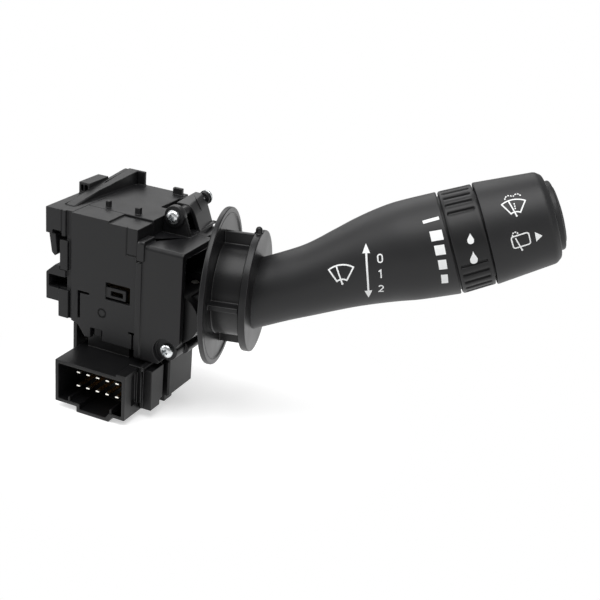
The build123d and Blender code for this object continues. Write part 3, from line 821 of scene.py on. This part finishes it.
def print_mark(name, shapes, place, tilt, skin, body):
    """Thin raised print of flat shapes in mm, wrapped on a skin at (station, angle)."""
    bm = bmesh.new()
    for shape in shapes:
        bm.faces.new([bm.verts.new((x * MM, y * MM, 0)) for x, y in shape])
    bm.normal_update()
    bmesh.ops.reverse_faces(bm, faces=[face for face in bm.faces if face.normal.z < 0])
    refine(bm, LEGEND_EDGE)
    bmesh.ops.solidify(bm, geom=bm.faces[:], thickness=LEGEND_DEPTH)
    proud = sizes().legend_proud
    high = max(vertex.co.z for vertex in bm.verts)
    station, around = place[0] * MM, math.radians(place[1])
    for vertex in bm.verts:
        x = vertex.co.x * math.cos(tilt) - vertex.co.y * math.sin(tilt)
        y = vertex.co.x * math.sin(tilt) + vertex.co.y * math.cos(tilt)
        radius, rise = skin(station + x)
        angle = around - y / radius
        over = radius + proud + vertex.co.z - high
        vertex.co = (rise + over * math.cos(angle), over * math.sin(angle), station + x)
    mesh = mesh_from(bm, name)
    mesh.transform(stalk_matrix())
    link_piece(name, mesh, body, "legend")


# ---- operators

class STALK_OT_case(Operator):
    """Round and finish the case, its cover and the guide frame."""

    bl_idname = "stalk.case"
    bl_label = "Switch Case"

    def execute(self, context):
        rounded_node("front_cover", "housing", "case")
        rounded_node("rear_case", "housing", "case")
        rounded_node("guide_frame", "housing", "case", more=[self.rail()])
        return {"FINISHED"}

    def rail(self):
        """Rail that rises along the top of the guide frame."""
        foot, chamfer = -0.4, 0.6
        sections = []
        for y, left, right, top in ((-14.4, -14.6, -10.8, 0.12), (0.0, -15.0, -10.2, 2.35),
                                    (22.9, -15.0, -8.0, 4.6)):
            corners = ((left, foot), (right, foot), (right, top), (left + 1.0, top),
                       (left, top - min(chamfer, top * 0.5)))
            sections.append([(x, y, z) for x, z in corners])
        return lofted(sections, "rail")


class STALK_OT_lever_housing(Operator):
    """Round and finish the lever housing and its back cover."""

    bl_idname = "stalk.lever_housing"
    bl_label = "Lever Housing"

    def execute(self, context):
        seat, above = -5.45, 6.5
        behind_lug = block(16.8, 32.0, -2.5, 1.4, seat, above)
        rounded_node("lever_housing", "housing", "housing",
                     less=[behind_lug])
        above_plate = block(17.0, 37.0, 0.4, 18.0, seat, above)
        rounded_node("pivot_cover", "housing", "housing",
                     less=[above_plate], more=self.hood())
        return {"FINISHED"}

    def hood(self):
        """Arched hood, open at the front, with its deck and the post of the upper screw."""
        front = [(19.3, -8.2), (19.3, 3.3), (23.6, 3.3), (25.3, 2.6), (26.4, 1.1), (27.1, -0.5),
                 (28.9, -5.2), (29.8, -8.2)]
        rear = [(19.3, -8.2), (19.3, 3.9), (21.8, 3.9), (23.1, 3.3), (23.9, 1.9), (24.6, 0.4),
                (26.7, -5.2), (27.7, -8.2)]
        inner_front = [(20.7, -8.4), (20.7, 1.9), (23.2, 1.9), (24.3, 1.4), (25.1, 0.3),
                       (25.7, -0.9), (27.4, -5.2), (28.3, -8.4)]
        inner_rear = [(20.7, -8.4), (20.7, 2.5), (21.4, 2.5), (22.1, 2.0), (22.6, 1.0),
                      (23.1, -0.2), (25.2, -5.2), (26.2, -8.4)]
        arch = combine(between(front, 3.3, rear, 16.5),
                       between(inner_front, 3.0, inner_rear, 15.0), "DIFFERENCE")
        deck = prism([(19.5, 3.1), (33.1, 3.1), (32.4, 7.0), (31.0, 12.0), (30.0, 15.2),
                      (19.5, 15.2)], -8.1, -6.8, "Z")
        post = rod(23.2, 1.0, 0.0, 9.0, 2.0)
        return [arch, deck, post]


class STALK_OT_connector(Operator):
    """Round and finish the socket, its cover and its pins."""

    bl_idname = "stalk.connector"
    bl_label = "Connector"

    def execute(self, context):
        ribs = [block(x, x + 0.8, -32.6, -19.0, -64.3, -62.5) for x in (-0.2, 16.8)]
        groove = block(21.8, 23.5, -28.2, -24.8, -61.4, -49.9)
        rounded_node("connector_shell", "housing", "connector",
                     less=[groove], more=ribs)
        plain_side = block(22.86, 31.0, -31.0, -12.75, -70.0, -46.0)
        rounded_node("terminal_cover", "housing", "connector",
                     less=[plain_side], more=self.steps())
        for node in ("upper_terminals", "lower_terminals"):
            rounded_node(node, "housing", "pins", 0.45, 1)
        return {"FINISHED"}

    def steps(self):
        """Stepped side of the terminal cover, from the socket back."""
        bay = [(-22.8, -64.6), (-16.7, -64.6), (-16.7, -62.4), (-14.9, -62.4), (-14.9, -49.4),
               (-22.8, -49.4)]
        return [block(22.9, 24.3, -24.7, -23.4, -61.4, -47.8),
                block(19.2, 24.3, -24.7, -23.4, -48.5, -47.8),
                block(22.9, 24.9, -24.6, -12.5, -49.3, -47.9),
                block(22.9, 23.9, -23.6, -12.5, -64.3, -49.0),
                prism(bay, 23.5, 27.3, "X"),
                block(22.9, 25.2, -15.2, -12.4, -62.3, -49.1),
                block(25.0, 26.7, -15.2, -13.7, -56.4, -50.6),
                block(26.5, 28.5, -12.6, 3.4, -62.7, -47.9)]


class STALK_OT_inner_works(Operator):
    """Finish the pieces inside the case, the housing and the stalk."""

    bl_idname = "stalk.inner_works"
    bl_label = "Inner Works"

    def execute(self, context):
        finishes = {
            "inner": ("detent_plunger", "contact_slider", "button_switch"),
            # the rocker and detent plate take the darker bearing copy of the case black: painted
            # shade
            "bearing": ("rocker", "detent_plate"),
            "laminate": ("contact_board", "ring_board"),
            "brass": ("fixed_contacts", "ring_contact"),
            "wire": ("pull_pin", "detent_spring"),
            "core": ("lever_core", "head_carrier"),
        }
        for finish, nodes in finishes.items():
            for node in nodes:
                paint_node(node, finish)
        self.button_coil()
        return {"FINISHED"}

    def button_coil(self):
        """The button's return spring, copied onto the lever; the real one shortens as the button
        goes in, this copy keeps its CAD length.
        """
        coil = link_piece("button_coil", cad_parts["button_spring"].data.copy(), "lever",
                          "wire")
        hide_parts("button_spring")
        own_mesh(coil)


class STALK_OT_screws(Operator):
    """Plated pan head screws with cross recesses."""

    bl_idname = "stalk.screws"
    bl_label = "Screws"

    def execute(self, context):
        bm = bmesh.new()
        for seat, side, length, turn in (((23.2, -5.0, 1.0), -1, 12.7, 20),
                                         ((30.3, -18.2, -42.1), -1, 24.2, 65),
                                         ((22.6, 18.0, 2.0), 1, 8.2, 35)):
            mesh = screw_mesh(seat, side, length, turn)
            bm.from_mesh(mesh)
            bpy.data.meshes.remove(mesh)
        joined = mesh_from(bm, "plated_screws")
        smooth_by_angle(joined, 35)
        piece = link_piece("plated_screws", joined, "housing", "zinc")
        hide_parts("housing_screws")
        return {"FINISHED"}


class STALK_OT_collar(Operator):
    """Flanged collar on the neck of the stalk."""

    bl_idname = "stalk.collar"
    bl_label = "Collar"

    def execute(self, context):
        rounded_node("collar", "lever", "collar",
                     share=0.40 / 0.28)
        return {"FINISHED"}


class STALK_OT_grip(Operator):
    """Waisted grip of the stalk, cut on a slant where it meets the collar."""

    bl_idname = "stalk.grip"
    bl_label = "Grip"

    def execute(self, context):
        start, end = 27.0 * MM, sizes().grip_end
        steps, lip, skin_depth = 90, 0.5 * MM, 0.5 * MM
        stations = [start + (end - lip - start) * i / steps for i in range(steps + 1)]
        outline = [(grip_radius(station), station) for station in stations]
        outline += [(17.28 * MM, end - 0.15 * MM), (17.1 * MM, end)]
        outline += [(radius * MM, end - back * MM) for radius, back in
                    ((16.2, 0), (16.2, 4.2), (12.52, 4.2), (12.52, 13.5), (9.05, 13.5))]
        outline.append((9.05 * MM, start))
        bm = turned_mesh(outline, TURNED_SIDES)
        for vertex in bm.verts:
            station = vertex.co.z
            radius = math.hypot(vertex.co.x, vertex.co.y)
            if radius > grip_radius(station) - skin_depth:
                vertex.co.x += grip_lift(station)
            slide_to_collar(vertex, start)
        stalk_piece("grip_skin", bm, 35, "lever", "stalk", "grip")
        return {"FINISHED"}


class STALK_OT_thumb_ring(Operator):
    """Ridged thumb ring with its smooth window."""

    bl_idname = "stalk.thumb_ring"
    bl_label = "Thumb Ring"

    def execute(self, context):
        first, last = sizes().ring_start, sizes().ring_end
        run_in = ((1.0, 0), (1.15, 0.2), (1.4, 0.85), (1.65, 1.0))
        outline = [(16.85, first, 0), (17.2, first + 0.25 * MM, 0), (17.38, first + 0.6 * MM, 0)]
        outline += [(17.38, first + inset * MM, depth) for inset, depth in run_in]
        outline += [(17.06, last - inset * MM, depth) for inset, depth in reversed(run_in)]
        outline += [(17.03, last - 0.35 * MM, 0), (16.85, last, 0), (14.58, last, 0)]
        outline += [(radius, first - back * MM, 0) for radius, back in
                    ((14.58, 0.1), (12.8, 0.1), (12.8, 2.7), (15.9, 2.7), (15.9, 0))]
        stalk_piece("thumb_ring_skin", grooved_ring(outline), 50, "ring", "ring",
                    "sensitivity_ring")
        return {"FINISHED"}


class STALK_OT_head(Operator):
    """End sleeve and push button."""

    bl_idname = "stalk.head"
    bl_label = "Sleeve and Button"

    def execute(self, context):
        sleeve = ((14.5, 0, 0), (17.3, 0, 0.35), (15.45, 20.2, 2.6), (14.0, 22.0, 1.2),
                  (12.0, 22.5, 0.25), (12.0, 20.4, 0), (13.2, 20.4, 0), (13.2, 12.6, 0),
                  (14.5, 12.6, 0))
        outline = rounded_outline(self.past_start([(r, s) for r, s, corner in sleeve]),
                                  [corner for r, s, corner in sleeve])
        self.turn("end_sleeve_skin", outline, "lever", "end_sleeve")
        dome = [(0, 25.6), (3.0, 25.52), (6.0, 25.28), (8.6, 24.9), (9.3, 24.77), (9.6, 24.46),
                (10.2, 24.36), (11.0, 24.2), (11.45, 23.96), (11.68, 23.56)]
        side = [(11.7, 20.1), (12.9, 20.1), (12.9, 18.1), (9.9, 18.1), (9.9, 22.8), (3.0, 22.8),
                (3.0, 5.3), (0, 5.3)]
        self.turn("end_button_skin", self.past_start(dome + side), "button", "end_button")
        return {"FINISHED"}

    def past_start(self, points):
        """Outline in metres from (radius, distance past the sleeve's start) points in mm."""
        start = sizes().sleeve_start
        return [(radius * MM, start + past * MM) for radius, past in points]

    def turn(self, name, outline, body, node):
        stalk_piece(name, turned_mesh(outline, TURNED_SIDES), 35, body, "stalk",
                    node)


class STALK_OT_legends(Operator):
    """Printed symbols, digits and marks of the stalk."""

    bl_idname = "stalk.legends"
    bl_label = "Legends"

    def execute(self, context):
        tilt = sizes().print_tilt
        on_grip = [("wiper_symbol", windscreen(3.85, 0.5), (57.3, 84.6), tilt),
                   ("speed_arrow", double_arrow(19.6, 0.62), (65.55, 93.5), tilt)]
        for digit, place in (("0", (70.75, 79.8)), ("1", (69.65, 98.2)), ("2", (68.45, 118.9))):
            on_grip.append(("digit_" + digit, digit_shape(digit, 3.0), place, tilt))
        on_grip.append(("long_bar", [box_shape(5.3, 1.15)], (89.4, 50.0), 0.07))
        squares = ((3.9, 3.3, 89.9, 68.3, -0.03), (3.2, 3.2, 89.8, 84.0, -0.05),
                   (2.6, 3.3, 89.45, 100.3, -0.08), (2.1, 3.7, 88.95, 118.7, -0.12))
        for index, (width, height, station, around, lean) in enumerate(squares):
            on_grip.append(("interval_mark_%d" % (index + 1), [box_shape(width, height)],
                            (station, around), lean))
        on_ring = [("small_drop", [drop_shape(2.15, 3.4)], (99.9, 79.6), -0.16),
                   ("large_drop", [drop_shape(2.5, 4.3)], (99.45, 100.2), -0.13)]
        pointer = [(-0.95, 1.6), (-1.0, -1.6), (1.2, -0.15)]
        on_sleeve = [
            ("front_washer_symbol", windscreen(3.5, 0.42) + screen_spray(), (115.7, 57.6), -0.05),
            ("rear_wiper_symbol", rear_window() + rear_spray(), (115.05, 96.0), 0.02),
            ("push_mark", [pointer], (120.7, 96.7), -0.03)]
        for skin, body, marks in ((grip_skin, "lever", on_grip), (ring_skin, "ring", on_ring),
                                  (sleeve_skin, "lever", on_sleeve)):
            for name, shapes, place, lean in marks:
                print_mark(name, shapes, place, lean, skin, body)
        return {"FINISHED"}


class STALK_OT_stage(Operator):
    """Floor, world, lights and camera."""

    bl_idname = "stalk.stage"
    bl_label = "Stage"

    def execute(self, context):
        make_floor()
        make_world()
        make_lights()
        make_camera()
        context.scene.view_settings.view_transform = "Standard"
        return {"FINISHED"}


# ---- stage

FLOOR_LEVEL = -67.6 * MM        # 0.1 mm under the part
SHADOW_CENTER = (0.03, -0.005, FLOOR_LEVEL)


def seen_ray(tree):
    """1 for rays that see the floor itself, in a mirror or through glass."""
    path = tree.nodes.new("ShaderNodeLightPath")
    seen = path.outputs["Is Camera Ray"]
    for kind in ("Is Glossy Ray", "Is Transmission Ray"):
        either = tree.nodes.new("ShaderNodeMath")
        either.operation = "MAXIMUM"
        tree.links.new(seen, either.inputs[0])
        tree.links.new(path.outputs[kind], either.inputs[1])
        seen = either.outputs[0]
    return seen


def mixed(tree, share, first, second):
    """Shader between two shaders."""
    node = tree.nodes.new("ShaderNodeMixShader")
    tree.links.new(share, node.inputs[0])
    tree.links.new(first.outputs[0], node.inputs[1])
    tree.links.new(second.outputs[0], node.inputs[2])
    return node


def floor_material():
    """Pale paper that keeps the part's shadow near the part and is plain white farther off."""
    made = bpy.data.materials.new("pale_floor")
    made.use_nodes = True
    tree = made.node_tree
    tree.nodes.clear()
    out = tree.nodes.new("ShaderNodeOutputMaterial")
    paper = tree.nodes.new("ShaderNodeBsdfDiffuse")
    paper.inputs["Color"].default_value = (0.78, 0.78, 0.78, 1)
    lift = tree.nodes.new("ShaderNodeEmission")
    lift.inputs["Strength"].default_value = 0.5
    lifted = tree.nodes.new("ShaderNodeAddShader")
    tree.links.new(paper.outputs[0], lifted.inputs[0])
    tree.links.new(lift.outputs[0], lifted.inputs[1])
    white = tree.nodes.new("ShaderNodeEmission")
    geometry = tree.nodes.new("ShaderNodeNewGeometry")
    distance = tree.nodes.new("ShaderNodeVectorMath")
    distance.operation = "DISTANCE"
    distance.inputs[1].default_value = SHADOW_CENTER
    tree.links.new(geometry.outputs["Position"], distance.inputs[0])
    away = spread(tree, distance.outputs["Value"], 0.0, 1.0, 0.03, 0.085, smooth=True)
    seen = mixed(tree, seen_ray(tree), paper, mixed(tree, away, lifted, white))
    tree.links.new(seen.outputs[0], out.inputs["Surface"])
    return made


def make_floor():
    mesh = bpy.data.meshes.new("floor")
    mesh.from_pydata([(x, y, FLOOR_LEVEL) for x, y in box_shape(24.0, 24.0)], [], [(0, 1, 2, 3)])
    mesh.materials.append(floor_material())
    floor = new_object("floor", mesh)


def make_world():
    """White for the camera, and a weaker even light for the part."""
    world = bpy.data.worlds.new("studio")
    world.use_nodes = True
    tree = world.node_tree
    background = tree.nodes["Background"]
    background.inputs["Color"].default_value = (1, 1, 1, 1)
    path = tree.nodes.new("ShaderNodeLightPath")
    strength = spread(tree, path.outputs["Is Camera Ray"], 0.36, 1.0, 0.0, 1.0)
    tree.links.new(strength, background.inputs["Strength"])
    bpy.context.scene.world = world


def make_lights():
    """Four soft boxes aimed at the middle of the part: place, width, height and watts."""
    middle = Vector((0.06, 0.0, -0.01))
    for name, place, width, height, power in (
            ("back_box", (-0.50, 0.62, 0.62), 1.0, 0.7, 3.2),
            ("top_box", (0.10, -0.20, 0.85), 0.9, 0.7, 7.6),
            ("left_box", (-0.75, -0.45, 0.45), 0.4, 0.7, 3.2),
            ("right_box", (0.85, -0.25, 0.35), 0.3, 0.7, 0.7)):
        light = bpy.data.lights.new(name, "AREA")
        light.shape = "RECTANGLE"
        light.size, light.size_y, light.energy = width, height, power
        lamp = new_object(name, light)
        lamp.location = place
        lamp.rotation_euler = (middle - Vector(place)).to_track_quat("-Z", "Y").to_euler()


def make_camera():
    camera = bpy.data.cameras.new("camera")
    camera.lens = 66.0
    camera.sensor_width = 36.0
    camera.clip_start = 0.01
    camera.clip_end = 100.0
    viewer = new_object("camera", camera)
    right = Vector((0.9076, 0.4112, 0.0847)).normalized()
    ahead = Vector((-0.3506, 0.8532, -0.3861)).normalized()
    up = right.cross(ahead).normalized()
    right = ahead.cross(up).normalized()
    turn = Matrix((right, up, -ahead)).transposed().to_4x4()
    turn.translation = Vector((0.1995, -0.3151, 0.1229))
    viewer.matrix_world = turn
    bpy.context.scene.camera = viewer


# ---- panel

ORDER = (
    STALK_OT_case, STALK_OT_lever_housing, STALK_OT_connector, STALK_OT_inner_works,
    STALK_OT_screws, STALK_OT_collar, STALK_OT_grip, STALK_OT_thumb_ring, STALK_OT_head,
    STALK_OT_legends, STALK_OT_stage,
)


class STALK_PT_sidebar(Panel):
    """Buttons and settings of the stalk switch."""

    bl_idname = "STALK_PT_sidebar"
    bl_label = "Stalk Switch"
    bl_space_type = "VIEW_3D"
    bl_region_type = "UI"
    bl_category = "Stalk Switch"

    def draw(self, context):
        for settings in (context.scene.stalk_sizes, context.scene.stalk_colours):
            box = self.layout.box()
            for name in settings.__annotations__:
                box.prop(settings, name)
        for operator in ORDER:
            self.layout.operator(operator.bl_idname)


CLASSES = (StalkSizes, StalkColours, *ORDER, STALK_PT_sidebar)


def register():
    for item in CLASSES:
        bpy.utils.register_class(item)
    bpy.types.Scene.stalk_sizes = PointerProperty(type=StalkSizes)
    bpy.types.Scene.stalk_colours = PointerProperty(type=StalkColours)


def unregister():
    del bpy.types.Scene.stalk_colours
    del bpy.types.Scene.stalk_sizes
    for item in reversed(CLASSES):
        bpy.utils.unregister_class(item)


def main():
    register()
    make_finishes()
    for operator in ORDER:
        group, name = operator.bl_idname.split(".")
        getattr(getattr(bpy.ops, group), name)()


if __name__ == "__main__":
    main()
